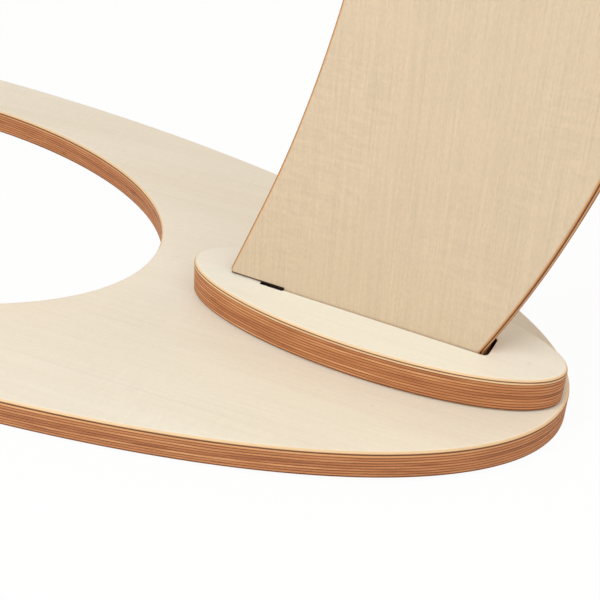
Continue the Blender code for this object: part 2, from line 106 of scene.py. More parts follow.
class PlateSizes(bpy.types.PropertyGroup):
    """Sizes of the base plate, the support plates and the top bridge."""

    window_length: distance("Window Half Length", "Half length of the window in the base plate", 0.2246)
    window_width: distance("Window Half Width", "Half width of the window in the base plate", 0.1245)
    edge_round: distance("Edge Round", "Radius along the rims of the plates", 0.002)
    slot_half_width: distance("Slot Half Width", "Half width of the slots for the arms", 0.0095)
    slot_corner: distance("Slot Corner", "Radius in the corners of the slots", 0.003)
    slot_flare: distance("Slot Flare", "Chamfer around the mouth of each slot but the pockets", 0.0003)
    relief_length: distance("Relief Length", "Length of the wider inner end of the foot slots", 0.0155)
    relief_depth: distance("Relief Depth", "How much wider that inner end is on each side", 0.0012)
    foot_slot_x: distance("Foot Slot Place", "Middle of the foot slots along the base", 0.379)
    foot_slot_half: distance("Foot Slot Half Length", "Half length of the foot slots", 0.0695)
    pocket_depth: distance("Pocket Depth", "How far the foot slots go on into the base plate", 0.010)
    top_slot_x: distance("Top Slot Place", "Middle of the slots along the bridge", 0.26625)
    top_slot_half: distance("Top Slot Half Length", "Half length of the slots in the bridge", 0.051)
    rim_sides: IntProperty(name="Rim Sides", description="Straight sides that make up a plate's rim",
                           default=384, min=48)


class ArmSizes(bpy.types.PropertyGroup):
    """Sizes of the two curved arms."""

    foot_inner_x: distance("Foot Inner Edge", "Inner end of the foot shoulder along the base", 0.2887)
    tenon_inner_x: distance("Tenon Inner Edge", "Inner side of the foot tenon along the base", 0.325)
    foot_outer_x: distance("Foot Outer Edge", "Outer side of the foot along the base", 0.446)
    seat: distance("Seat", "Height of the foot shoulder above the floor", 0.0424)
    rise: distance("Rise", "Height from the foot shoulder to the top shoulder", 0.880)
    inner_lean: angle("Inner Lean", "Slope of the inner edge at the foot, from level", 68.56)
    inner_straight: distance("Inner Straight Run", "Straight run of the inner edge above the foot", 0.051)
    outer_lean: angle("Outer Lean", "Slope of the outer edge at the foot, from level", 63.9)
    outer_foot_radius: distance("Outer Foot Radius", "Radius of the outer edge's lower arc", 0.67)
    outer_foot_run: distance("Outer Foot Run", "Length of the outer edge's lower arc", 0.27)
    top_inner_x: distance("Top Inner Edge", "Inner end of the top shoulder", 0.204)
    top_width: distance("Top Width", "Width of the arm at its top", 0.1245)
    top_tenon: distance("Top Tenon Width", "Width of the tenon that goes through the bridge", 0.100)
    edge_round: distance("Edge Round", "Radius along the long outer edges", 0.004)
    inner_round: distance("Inner Round", "Radius along the long inner edges", 0.0019)
    shoulder_round: distance("Shoulder Round", "Radius of the sanded edge along the foot shoulder", 0.0011)
    foot_corner: distance("Foot Corner", "How far the foot's inner corner is rounded off", 0.0034)
    tenon_corner: distance("Tenon Corner", "Radius of the tenons' corners", 0.005)
    plain_tenon: distance("Plain Tenon", "Square-edged part of the top tenon, inside the bridge", 0.010)
    rows: IntProperty(name="Rows", description="Steps that the arm's curves are drawn in",
                      default=88, min=12)


class HardwareSizes(bpy.types.PropertyGroup):
    """Sizes of the eye bolts, nuts, washers, rings and screws."""

    eye_wire: distance("Eye Wire Radius", "Half the thickness of the eye's wire", 0.003)
    collar_radius: distance("Collar Radius", "Radius of the eye bolt's collar", 0.0075)
    collar_height: distance("Collar Height", "Height of the eye bolt's collar", 0.004)
    bolt_radius: distance("Bolt Radius", "Radius of the eye bolt's shank", 0.004)
    bolt_clearance: distance("Bolt Clearance", "Gap around the shank in washers and nuts", 0.0004)
    hex_height: distance("Hexagon Height", "Height of the cap nut's hexagon", 0.0065)
    dome_radius: distance("Dome Radius", "Radius of the cap nut's dome", 0.0058)
    bore_depth: distance("Bore Depth", "Depth of the cap nut's bore", 0.010)
    ring_wire: distance("Ring Wire Radius", "Half the thickness of the ring's wire", 0.0025)
    screw_head: distance("Screw Head Height", "Height of the screw's cone", 0.0026)
    screw_shank: distance("Screw Shank Radius", "Radius of the screw's shank", 0.002)
    socket_radius: distance("Socket Radius", "Radius of the screw's hexagon socket", 0.0016)
    socket_depth: distance("Socket Depth", "Depth of the screw's hexagon socket", 0.0015)


class FinishTones(bpy.types.PropertyGroup):
    """Colours of the finishes."""

    plate_face: tone("Plate Face", "Maple veneer on the base plate", 231, 225, 211)
    support_face: tone("Support Face", "Maple veneer on the support plates and the bridge", 232, 229, 217)
    arm_face: tone("Arm Face", "Maple veneer on the arms", 203, 184, 158)
    face_shade: tone("Face Shade", "Darker figure in the maple veneer", 208, 184, 154)
    veneer_edge: tone("Veneer Edge", "Cut edge of the face veneer on the plates", 222, 188, 144)
    arm_edge: tone("Arm Veneer Edge", "Cut edge of the face veneer on the arms", 200, 140, 80)
    pale_ply: tone("Pale Ply", "Second ply of the thicker plates", 236, 200, 154)
    ply_light: tone("Light Ply", "Lightest of the inner plies", 220, 163, 110)
    ply_middle: tone("Middle Ply", "Main colour of the inner plies", 189, 123, 75)
    ply_dark: tone("Dark Ply", "Darkest of the inner plies", 148, 86, 50)
    glue: tone("Glue Line", "Lines between the plies", 80, 40, 22)
    stainless: tone("Stainless Steel", "Eye bolts, nuts, washers and rings", 206, 205, 202)
    zinc: tone("Zinc Plate", "Screws under the base", 199, 197, 186)
    felt: tone("Felt", "Pads under the base", 92, 90, 87)


class StandSettings(bpy.types.PropertyGroup):
    """All that a user may change on the stand."""

    plates: PointerProperty(type=PlateSizes, name="Plates", description="Sizes of the flat plates")
    arms: PointerProperty(type=ArmSizes, name="Arms", description="Sizes of the two arms")
    hardware: PointerProperty(type=HardwareSizes, name="Hardware", description="Sizes of the metal parts")
    tones: PointerProperty(type=FinishTones, name="Finishes", description="Colours of the finishes")


# Shader maths

class Shade:
    """A shader value or colour, which can be written in sums."""

    def __init__(self, recipe, socket):
        self.recipe = recipe
        self.socket = socket

    def maths(self, operation, *others):
        return self.recipe.add("ShaderNodeMath", {"operation": operation}, dict(enumerate((self, *others))))

    def after(self, operation, first):
        """The same with this value second, for the reflected signs."""
        return self.recipe.add("ShaderNodeMath", {"operation": operation}, {0: first, 1: self})

    def __add__(self, other):
        return self.maths("ADD", other)

    def __radd__(self, other):
        return self.after("ADD", other)

    def __sub__(self, other):
        return self.maths("SUBTRACT", other)

    def __rsub__(self, other):
        return self.after("SUBTRACT", other)

    def __mul__(self, other):
        return self.maths("MULTIPLY", other)

    def __rmul__(self, other):
        return self.after("MULTIPLY", other)

    def __truediv__(self, other):
        return self.maths("DIVIDE", other)

    def __rtruediv__(self, other):
        return self.after("DIVIDE", other)

    def __abs__(self):
        return self.maths("ABSOLUTE")

    def __floor__(self):
        return self.maths("FLOOR")

    def rise(self, low, high):
        """0 below low, 1 above high, and a soft step between them."""
        return self.recipe.add("ShaderNodeMapRange", {"interpolation_type": "SMOOTHSTEP"},
                               {"Value": self, "From Min": low, "From Max": high})

    def fall(self, low, high):
        return 1 - self.rise(low, high)

    def clamped(self):
        return self.recipe.add("ShaderNodeClamp", {}, {"Value": self})


class Recipe:
    """Node tree of one finish, drawn up step by step."""

    def __init__(self, name):
        self.material = bpy.data.materials.new(name)
        self.material.use_nodes = True
        self.tree = self.material.node_tree
        self.tree.nodes.clear()
        self.place = self.add("ShaderNodeTexCoord", {}, {}, "Object")

    def add(self, kind, settings, inputs, output=0):
        """Add a node with its settings and the values or links of its sockets, and give one output."""
        node = self.tree.nodes.new(kind)
        for name, value in settings.items():
            setattr(node, name, value)
        for name, value in inputs.items():
            if isinstance(value, Shade):
                self.tree.links.new(value.socket, node.inputs[name])
            else:
                node.inputs[name].default_value = value
        return Shade(self, node.outputs[output])

    def parts(self, vector):
        """X, Y and Z of a vector."""
        x = self.add("ShaderNodeSeparateXYZ", {}, {"Vector": vector}, "X")
        node = x.socket.node
        return [Shade(self, node.outputs[axis]) for axis in ("X", "Y", "Z")]

    def vector(self, x, y, z):
        return self.add("ShaderNodeCombineXYZ", {}, {"X": x, "Y": y, "Z": z})

    def stretched(self, scale, turn=(0, 0, 0), shift=(0, 0, 0)):
        """The place on the piece, scaled and turned, for a pattern that is longer one way."""
        return self.add("ShaderNodeMapping", {"vector_type": "POINT"},
                        {"Vector": self.place, "Scale": scale, "Rotation": turn, "Location": shift})

    def noise(self, vector, scale=1.0, detail=2.0, roughness=0.5, distortion=0.0):
        return self.add("ShaderNodeTexNoise", {"noise_dimensions": "3D"},
                        {"Vector": vector, "Scale": scale, "Detail": detail, "Roughness": roughness,
                         "Distortion": distortion})

    def cells(self, vector, scale=1.0):
        """Distance to the nearest of many scattered points."""
        return self.add("ShaderNodeTexVoronoi", {"feature": "F1"}, {"Vector": vector, "Scale": scale},
                        "Distance")

    def chance(self, value):
        """A steady random number from 0 to 1 for each whole number."""
        return self.add("ShaderNodeTexWhiteNoise", {"noise_dimensions": "1D"}, {"W": value})

    def blend(self, factor, first, second):
        """Colour between two colours."""
        return self.add("ShaderNodeMix", {"data_type": "RGBA", "blend_type": "MIX", "clamp_factor": True},
                        {0: factor, 6: first, 7: second}, 2)

    def dimmed(self, colour, value):
        """Colour times a value."""
        if not isinstance(colour, Shade):
            colour = tuple(colour)[:3]
        return self.add("ShaderNodeVectorMath", {"operation": "SCALE"}, {0: colour, "Scale": value})

    def bump(self, height, strength, depth):
        return self.add("ShaderNodeBump", {}, {"Height": height, "Strength": strength, "Distance": depth})

    def surface(self, **sockets):
        """Principled surface from sockets written with _ for a space, and the finished material."""
        inputs = {name.replace("_", " "): value for name, value in sockets.items()}
        shader = self.add("ShaderNodeBsdfPrincipled", {}, inputs, "BSDF")
        self.add_output(shader)
        return self.material

    def add_output(self, shader):
        """Feed the finished shader to the material's output."""
        node = self.tree.nodes.new("ShaderNodeOutputMaterial")
        self.tree.links.new(shader.socket, node.inputs["Surface"])


def opaque(colour):
    """Colour setting as a socket's four values."""
    return (*colour, 1.0)


Sheet = namedtuple("Sheet", ["across", "middle", "thickness", "pitch", "veneer", "grain", "turn",
                             "strip_width", "strip_start", "grain_strength"])
Slot = namedtuple("Slot", ["place", "half_length", "tenon_half", "half_width"])
Foot = namedtuple("Foot", ["seat", "tenon_x", "slot_end"])


class Plywood(Recipe):
    """Maple faced plywood: pale veneer on the flats, brown plies with dark glue lines on the rims, and
    painted shade in the slots, under the plates' lower rims and along the arms' foot.

    Its sheet gives the axis through the plies, the middle and thickness along it, the pitch of the plies,
    the thickness of the face veneer, the veneer's grain axis and its turn off that axis, the width and
    place of its strips, and how strong its grain shows. A slot gives its place along X, its half length,
    the half length of the tenon in it and its half width. A foot gives the height of an arm's foot
    shoulder, the X of its tenon's inner side and the X of the inner end of the slot.
    """

    def __init__(self, name, sheet):
        super().__init__(name)
        self.sheet = sheet
        self.spots = self.parts(self.place)
        self.normals = self.parts(self.add("ShaderNodeTexCoord", {}, {}, "Normal"))
        self.through = self.spots[sheet.across] - sheet.middle
        self.depth = sheet.thickness / 2 - abs(self.through)
        self.flat = abs(self.normals[sheet.across])
        self.sides = [axis for axis in range(3) if axis != sheet.across]

    def grain(self, long_scale, cross_scale, shift=(0, 0, 0)):
        """Place on the veneer, scaled along and across its grain."""
        spin, scale = [0, 0, 0], [cross_scale] * 3
        spin[self.sheet.across] = self.sheet.turn
        scale[self.sheet.grain] = long_scale
        turned_place = self.add("ShaderNodeMapping", {"vector_type": "POINT"},
                                {"Vector": self.place, "Rotation": spin})
        return self.add("ShaderNodeMapping", {"vector_type": "POINT"},
                        {"Vector": turned_place, "Scale": scale, "Location": shift})

    def face(self, colour, shade):
        """Colour and relief of the face veneer, and its finest lines.

        Each pattern has its scale along and across the grain, and a shift that sets it apart.
        """
        sheet = self.sheet
        cloud = self.noise(self.grain(1.6, 9.0), detail=3.0, roughness=0.55, distortion=0.4)
        figure = self.noise(self.grain(3.5, 62.0, (3.1, 0.7, 5.2)), detail=3.0, roughness=0.6,
                            distortion=0.2)
        hair = self.noise(self.grain(17.0, 1000.0, (1.7, 2.3, 0.4)), detail=1.0, roughness=0.6,
                          distortion=0.4)
        curl = self.noise(self.grain(330.0, 70.0, (6.7, 3.3, 1.4)), detail=1.0, distortion=0.6) - 0.5
        curled = self.noise(self.grain(7.0, 13.0, (2.9, 8.3, 4.4))).rise(0.45, 0.7)
        speckle = self.noise(self.grain(420.0, 1300.0, (0.3, 4.4, 2.6)), detail=1.0) - 0.5
        fleck = self.noise(self.grain(120.0, 300.0, (7.7, 1.1, 3.9)), detail=0.0).rise(0.86, 0.90)
        cross_axis = 1 if sheet.grain == 0 else 0
        strip = (self.parts(self.grain(1.0, 1.0))[cross_axis] - sheet.strip_start) / sheet.strip_width
        number = math.floor(strip)
        seam_line, seam_glow = 0.0004 / sheet.strip_width, 0.0015 / sheet.strip_width
        seam = (0.5 - abs(strip - number - 0.5)).fall(seam_line, seam_glow)
        strip_tone = self.chance(number + 11.0) - 0.5
        broad = cloud.rise(0.35, 0.75) * 0.18 + figure.rise(0.35, 0.8) * 0.1
        shaded = (0.1 + broad + strip_tone * 0.14).clamped()
        fine = (hair - 0.5) * 0.14 + speckle * 0.13 + curl * curled * 0.13
        light = 1.0 + fine * sheet.grain_strength - seam * 0.03 - fleck * 0.12
        relief = hair * 0.5 + figure * 0.3 + curl * curled * 0.2
        return self.dimmed(self.blend(shaded, opaque(colour), opaque(shade)), light), relief, hair

    def plies(self, tones, second_ply, both_faces):
        """Colour and relief of the cut plies, and the streaks along them.

        The second ply has its own tone, below the top face alone or below both faces.
        """
        sheet = self.sheet
        fine, slow = [42.0] * 3, [16.0] * 3
        fine[sheet.across], slow[sheet.across] = 2400.0, 0.0
        streak = self.noise(self.stretched(tuple(fine)), detail=2.0, roughness=0.65) - 0.5
        waver = self.noise(self.stretched(tuple(slow), shift=(5.0, 2.0, 8.0)), detail=2.0) - 0.5
        level = (self.through + sheet.thickness / 2 - sheet.veneer) / sheet.pitch + waver * 0.2
        ply = math.floor(level)
        share = level - ply
        by_ply = [None, None, None]
        by_ply[sheet.across] = ply * 5.31
        for side in self.sides:
            by_ply[side] = self.spots[side] * 11.0
        drift = self.noise(self.vector(*by_ply), detail=3.0, roughness=0.6) - 0.5
        # Every second ply shows end grain where the rim runs one way, and long grain the other way
        odd = (ply / 2 - math.floor(ply / 2)) * 2
        one_way = self.normals[self.sides[0]] * self.normals[self.sides[0]]
        end_grain = (one_way * (1 - odd) + (1 - one_way) * odd).clamped()
        speckle = self.noise(self.place, scale=1500.0, detail=1.0) - 0.5
        tone_level = (0.50 + (self.chance(ply + 8.0) - 0.5) * 0.46 + drift * 1.1 + streak * 1.7
                      - end_grain * 0.10 + speckle * end_grain * 0.6)
        dark_half = self.blend(tone_level.rise(0.0, 0.5), opaque(tones.ply_dark), opaque(tones.ply_middle))
        inner = self.blend(tone_level.rise(0.5, 1.05), dark_half, opaque(tones.ply_light))
        outermost = self.depth.fall(sheet.veneer + sheet.pitch * 0.80, sheet.veneer + sheet.pitch * 0.98)
        above = 1.0 if both_faces else self.through.rise(0.0, 0.001)
        inner = self.blend(outermost * above * (0.8 + drift + streak * 0.6), inner, opaque(second_ply))
        gap = 0.5 - abs(share - 0.5)
        boldness = self.noise(self.vector(*[part * 1.9 for part in by_ply]), detail=2.0).rise(0.2, 0.65)
        line = gap.fall(0.05, 0.20) * (boldness * 0.35 + 0.62)
        void = self.noise(self.vector(*[part * 3.7 for part in by_ply]), detail=1.0).rise(0.71, 0.75)
        void = void * gap.fall(0.18, 0.28)
        colour = self.blend(line.maths("MAXIMUM", void), inner, opaque(tones.glue))
        return colour, streak - line * 1.5 - void * 3.0, streak

    def finished(self, tones, face_tone, cut_tone, second_ply, slot=None, foot=None):
        """The whole material of a plate with a slot, or of the arms with their foot, with painted shade in
        the slot and a painted shadow along the foot.
        """
        sheet = self.sheet
        both_faces = foot is not None
        face_colour, face_relief, hair = self.face(face_tone, tones.face_shade)
        rim_colour, rim_relief, streak = self.plies(tones, second_ply, both_faces)
        # The face veneer turns brown where the rounding cuts through it, and ends at a dark glue line
        first, last = (0.90, 0.998) if both_faces else (0.80, 0.99)
        turned_over = self.flat.fall(first, last)
        cut_veneer = self.dimmed(opaque(cut_tone), 1.0 + streak * 0.3)
        veneer = self.blend(turned_over, face_colour, cut_veneer)
        veneer = self.blend(self.flat.fall(0.05, 0.6) * 0.9, veneer, opaque(tones.ply_middle))
        if not both_faces:
            # Painted shade: the rounding under a plate's lower rim turns towards the dark ply colour
            painted_lower_shade = self.through.fall(-0.001, 0.0) * self.flat.fall(0.85, 0.98)
            veneer = self.blend(painted_lower_shade * 0.85, veneer, opaque(tones.ply_dark))
        soft = 0.00008
        glue_inset = 0.0001
        within = self.depth.fall(sheet.veneer - soft, sheet.veneer + soft)
        colour = self.blend(within, rim_colour, veneer)
        glue = abs(self.depth - sheet.veneer - glue_inset).fall(0.0002, 0.0005)
        colour = self.blend(glue * 0.85, colour, opaque(tones.glue))
        # Painted shadow along the arms' foot edge, where the shoulder meets the support
        if foot is not None:
            colour = self.painted_foot_shadow(colour, tones, foot)
        # Painted shade: the open end of each slot is darkened nearly to black, where hardly any light comes
        # in
        if slot is not None:
            colour = self.dimmed(colour, 1.0 - self.slot_shade_mask(slot) * 0.95)
        on_rim = self.flat.fall(0.2, 0.8)
        roughness = 0.42 + (hair - 0.5) * 0.12 + on_rim * 0.16 + streak * on_rim * 0.2
        relief = face_relief * (1 - on_rim) + rim_relief * on_rim
        return self.surface(Base_Color=colour, Roughness=roughness, Specular_IOR_Level=0.35,
                            Normal=self.bump(relief, 0.16, 0.0004))

    def painted_foot_shadow(self, colour, tones, foot):
        """Colour with a painted shadow along the arms' sanded foot edge, where the shoulder sits on the
        support, and painted shade, nearly black, over the slot's open end.
        """
        x = abs(self.spots[0])
        low = self.spots[2].fall(foot.seat + 0.0009, foot.seat + 0.0014)
        edge = low * x.fall(foot.tenon_x - 0.0005, foot.tenon_x + 0.0005) * self.depth.fall(0.002, 0.003)
        over_slot = x.rise(foot.slot_end - 0.001, foot.slot_end + 0.0005)
        colour = self.blend(edge * 0.9, colour, opaque(tones.glue))
        return self.dimmed(colour, 1.0 - edge * over_slot * 0.85)

    def slot_shade_mask(self, slot):
        """Mask of painted shade: 1 inside the open end of a slot, where hardly any light comes, and 0
        elsewhere.
        """
        along = abs(abs(self.spots[0]) - slot.place)
        reach = slot.half_width + 0.002
        inside = along.fall(slot.half_length + 0.0002, slot.half_length + 0.0007)
        inside = inside * along.rise(slot.tenon_half - 0.002, slot.tenon_half - 0.001)
        inside = inside * abs(self.spots[1]).fall(reach, reach + 0.0005)
        return inside * self.depth.rise(0.00005, 0.0003)


def steel(name, colour, roughness, brushed_along, grit):
    """Bare or plated steel with fine marks of working and handling."""
    recipe = Recipe(name)
    scale = [grit] * 3
    scale[brushed_along] = grit / 18
    brush = recipe.noise(recipe.stretched(tuple(scale)), detail=3.0, roughness=0.7)
    cloud = recipe.noise(recipe.place, scale=160.0, detail=3.0, roughness=0.6)
    spots = recipe.cells(recipe.place, scale=900.0)
    scratch = recipe.noise(recipe.stretched((120.0, 2600.0, 900.0), (0.4, 0.9, 0.2)), detail=1.0)
    scratch = scratch.rise(0.66, 0.72)
    tint = recipe.dimmed(opaque(colour), 1.0 + (cloud - 0.5) * 0.12 + (brush - 0.5) * 0.10 - scratch * 0.05)
    worn = roughness + (brush - 0.5) * 0.16 + cloud.rise(0.4, 0.8) * 0.08 + scratch * 0.08
    height = brush * 0.6 + spots * 0.25 + cloud * 0.4 - scratch
    return recipe.surface(Base_Color=tint, Metallic=1.0, Roughness=worn,
                          Normal=recipe.bump(height, 0.10, 0.0002))


def felt(name, colour):
    """Pressed wool felt, with light and dark fibres every way."""
    recipe = Recipe(name)
    fibres = recipe.noise(recipe.place, scale=1900.0, detail=3.0, roughness=0.75, distortion=2.2)
    tufts = recipe.noise(recipe.place, scale=420.0, detail=2.0, distortion=1.0)
    hairs = recipe.cells(recipe.stretched((900.0, 2600.0, 1700.0), (0.5, 0.2, 0.9)))
    light = 0.72 + fibres * 0.5 + (tufts - 0.5) * 0.3 - hairs.rise(0.5, 0.9) * 0.12
    height = fibres + tufts * 0.7 + hairs * 0.4
    return recipe.surface(Base_Color=recipe.dimmed(opaque(colour), light), Roughness=0.96,
                          Normal=recipe.bump(height, 0.5, 0.0006))


# Modelling helpers

def leave_edit():
    bpy.ops.object.mode_set(mode="OBJECT")


def start_fresh():
    """Leave edit mode and select nothing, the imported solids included."""
    if bpy.context.object is not None and bpy.context.object.mode != "OBJECT":
        leave_edit()
    bpy.ops.object.select_all(action="DESELECT")


def activate(piece):
    """Select one piece alone and make it the active one."""
    start_fresh()
    piece.select_set(True)
    bpy.context.view_layer.objects.active = piece


def settle(name):
    """Name the primitive just added and put its place into its mesh."""
    piece = bpy.context.object
    piece.name = name
    piece.data.name = name
    activate(piece)
    bpy.ops.object.transform_apply(location=True, rotation=True, scale=True)
    return piece


def pick(piece, mode, test):
    """Go into edit mode and select the vertices, edges or faces that pass a test."""
    if piece.mode != "EDIT":
        activate(piece)
        bpy.ops.object.mode_set(mode="EDIT")
    bpy.ops.mesh.select_mode(type=mode)
    bpy.ops.mesh.select_all(action="DESELECT")
    maker = bmesh.from_edit_mesh(piece.data)
    maker.normal_update()
    items = {"VERT": maker.verts, "EDGE": maker.edges, "FACE": maker.faces}[mode]
    found = 0
    for item in items:
        if test(item):
            item.select_set(True)
            found += 1
    bmesh.update_edit_mesh(piece.data)
    if found == 0:
        raise RuntimeError(f"nothing on {piece.name} passes the test")


def draw_up(step, grow=1.0, centre=(0, 0, 0)):
    """Extrude what is selected along a step, then scale it across around a centre."""
    bpy.ops.mesh.extrude_region_move(TRANSFORM_OT_translate={"value": step})
    if grow != 1.0:
        bpy.ops.transform.resize(value=(grow, grow, 1), center_override=centre)


def level_edge(edge, height):
    """Whether an edge lies at a height."""
    return all(abs(vert.co.z - height) < TINY for vert in edge.verts)


def beside_wall(edge, axis):
    """Whether an edge borders a face that stands square to a flat face."""
    return any(abs(face.normal[axis]) < 0.5 for face in edge.link_faces)


def upright(edge):
    """Whether an edge stands up."""
    return abs(edge.verts[0].co.z - edge.verts[1].co.z) > TINY


def bevel(radius, segments, affect="EDGES"):
    """Round the selected edges or, with affect VERTICES, the selected corners."""
    bpy.ops.mesh.bevel(offset_type="OFFSET", offset=radius, segments=segments, profile=0.5, affect=affect,
                       clamp_overlap=False)


def round_rims(piece, low, high, radius):
    """Round the rims of a plate that lies between two heights."""
    pick(piece, "EDGE", lambda edge: beside_wall(edge, 2)
         and (level_edge(edge, low) or level_edge(edge, high)))
    bevel(radius, 5)
    leave_edit()


def apply_modifier(piece, kind, **settings):
    """Add a modifier with its settings and apply it."""
    activate(piece)
    modifier = piece.modifiers.new(kind.lower(), kind)
    for name, value in settings.items():
        setattr(modifier, name, value)
    bpy.ops.object.modifier_apply(modifier=modifier.name)


def cut(piece, tool, operation="DIFFERENCE"):
    """Cut one piece with another, or join them, and drop the tool."""
    apply_modifier(piece, "BOOLEAN", operation=operation, solver="EXACT", object=tool)
    bpy.data.objects.remove(tool)


def clean(piece):
    """Merge doubles and turn the faces outwards."""
    pick(piece, "VERT", lambda vert: True)
    bpy.ops.mesh.remove_doubles(threshold=1e-6)
    bpy.ops.mesh.select_all(action="SELECT")
    bpy.ops.mesh.normals_make_consistent(inside=False)
    leave_edit()


def dress(piece, material, body, slot, *nodes):
    """Smooth the piece, keep its flats flat, give it its finish and let it stand for its solids."""
    clean(piece)
    activate(piece)
    bpy.ops.object.shade_smooth_by_angle(angle=SMOOTH_BELOW)
    apply_modifier(piece, "WEIGHTED_NORMAL", mode="FACE_AREA", keep_sharp=True, weight=50)
    piece.data.materials.clear()
    piece.data.materials.append(material)
    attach(piece, body)
    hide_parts(*nodes)


def copied(piece, name, step=(0, 0, 0), flip=False):
    """A copy with its own mesh, moved by a step or mirrored to the other side."""
    activate(piece)
    bpy.ops.object.duplicate(linked=False)
    twin = bpy.context.object
    twin.name = name
    twin.data.name = name
    pick(twin, "VERT", lambda vert: True)
    if flip:
        bpy.ops.transform.resize(value=(-1, 1, 1), center_override=(0, 0, 0))
    else:
        bpy.ops.transform.translate(value=step)
    leave_edit()
    clean(twin)
    return twin


def ellipse_plate(name, low, high, sides):
    """Flat elliptical plate that fills a box."""
    start_fresh()
    middle = (low + high) / 2
    bpy.ops.mesh.primitive_cylinder_add(vertices=sides, radius=1, depth=high.z - low.z, location=middle)
    piece = settle(name)
    pick(piece, "VERT", lambda vert: True)
    bpy.ops.transform.resize(value=((high.x - low.x) / 2, (high.y - low.y) / 2, 1),
                             center_override=middle)
    leave_edit()
    return piece


def turned(name, place, profile, sides, spin=0.0):
    """Piece drawn up from a disc, from one (radius, height) to the next."""
    start_fresh()
    radius, height = profile[0]
    bpy.ops.mesh.primitive_circle_add(vertices=sides, radius=radius, fill_type="NGON",
                                      location=(place[0], place[1], height), rotation=(0, 0, spin))
    piece = settle(name)
    pick(piece, "FACE", lambda face: True)
    for next_radius, next_height in profile[1:]:
        draw_up((0, 0, next_height - height), next_radius / radius, (place[0], place[1], next_height))
        radius, height = next_radius, next_height
    leave_edit()
    clean(piece)
    return piece


def slot_tool(centre_x, half_length, plates, low, high, flare):
    """Tool for a slot with round corners and a flared mouth at its top."""
    start_fresh()
    mouth = high - flare
    bpy.ops.mesh.primitive_cube_add(size=1, location=(centre_x, 0, (low + mouth) / 2),
                                    scale=(2 * half_length, 2 * plates.slot_half_width, mouth - low))
    tool = settle("slot_tool")
    pick(tool, "EDGE", upright)
    bevel(plates.slot_corner, 6)
    pick(tool, "FACE", lambda face: face.normal.z > 0.9)
    if flare:
        draw_up((0, 0, flare))
        bpy.ops.transform.resize(value=(1 + flare / half_length, 1 + flare / plates.slot_half_width, 1),
                                 center_override=(centre_x, 0, high))
    draw_up((0, 0, OVERSHOOT))
    leave_edit()
    return tool


def screw_tool(node, hardware):
    """Tool for a countersunk hole around a screw, with a nearly sharp end."""
    low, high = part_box(node)
    clearance = SCREW_CLEARANCE
    head = (high.x - low.x) / 2 + clearance
    shank = hardware.screw_shank + clearance
    neck = low.z + hardware.screw_head + clearance
    tip = 0.0003
    profile = [(head, low.z - OVERSHOOT), (head, low.z + clearance), (shank, neck),
               (shank, high.z - 2 * shank), (tip, high.z + 2 * clearance)]
    return turned("screw_tool", (low + high) / 2, profile, 32)


def plate_sheet(low, high, **looks):
    """Sheet of a flat plate between its box's corners, with its grain along the plate."""
    return Sheet(across=2, middle=(low.z + high.z) / 2, thickness=high.z - low.z, grain=0, **looks)


def plate_slot(plates, place, half_length, open_end):
    """Slot of a plate for the painted shade in its finish, open beside its tenon over the length of its
    open end.
    """
    return Slot(place, half_length, half_length - open_end, plates.slot_half_width)


# Curves of the arms

def bend(start, lean, end):
    """Centre and radius of the arc that leaves its start at a lean and meets its end."""
    inward = Vector((-math.sin(lean), math.cos(lean)))
    chord = Vector(end) - Vector(start)
    radius = chord.length_squared / (2 * chord.dot(inward))
    centre = Vector(start) + radius * inward
    return centre.x, centre.y, radius


def arc_x(arc, height):
    """X of an arc at a height, on its outward side."""
    return arc[0] + math.sqrt(arc[2] ** 2 - (height - arc[1]) ** 2)


def arm_edges(arms):
    """Functions that give the arm's inner and outer X at a height above its seat."""
    run_x = arms.foot_inner_x + arms.inner_straight * math.cos(arms.inner_lean)
    run_z = arms.inner_straight * math.sin(arms.inner_lean)
    inner_arc = bend((run_x, run_z), arms.inner_lean, (arms.top_inner_x, arms.rise))
    knee_lean = arms.outer_lean + arms.outer_foot_run / arms.outer_foot_radius
    knee_x = arms.foot_outer_x + arms.outer_foot_radius * (math.sin(knee_lean) - math.sin(arms.outer_lean))
    knee_z = arms.outer_foot_radius * (math.cos(arms.outer_lean) - math.cos(knee_lean))
    foot_arc = bend((arms.foot_outer_x, 0), arms.outer_lean, (knee_x, knee_z))
    top_arc = bend((knee_x, knee_z), knee_lean, (arms.top_inner_x + arms.top_width, arms.rise))

    def inner(height):
        if height < run_z:
            return arms.foot_inner_x + height / math.tan(arms.inner_lean)
        return arc_x(inner_arc, height)

    def outer(height):
        return arc_x(foot_arc if height < knee_z else top_arc, height)

    return inner, outer


# Operators

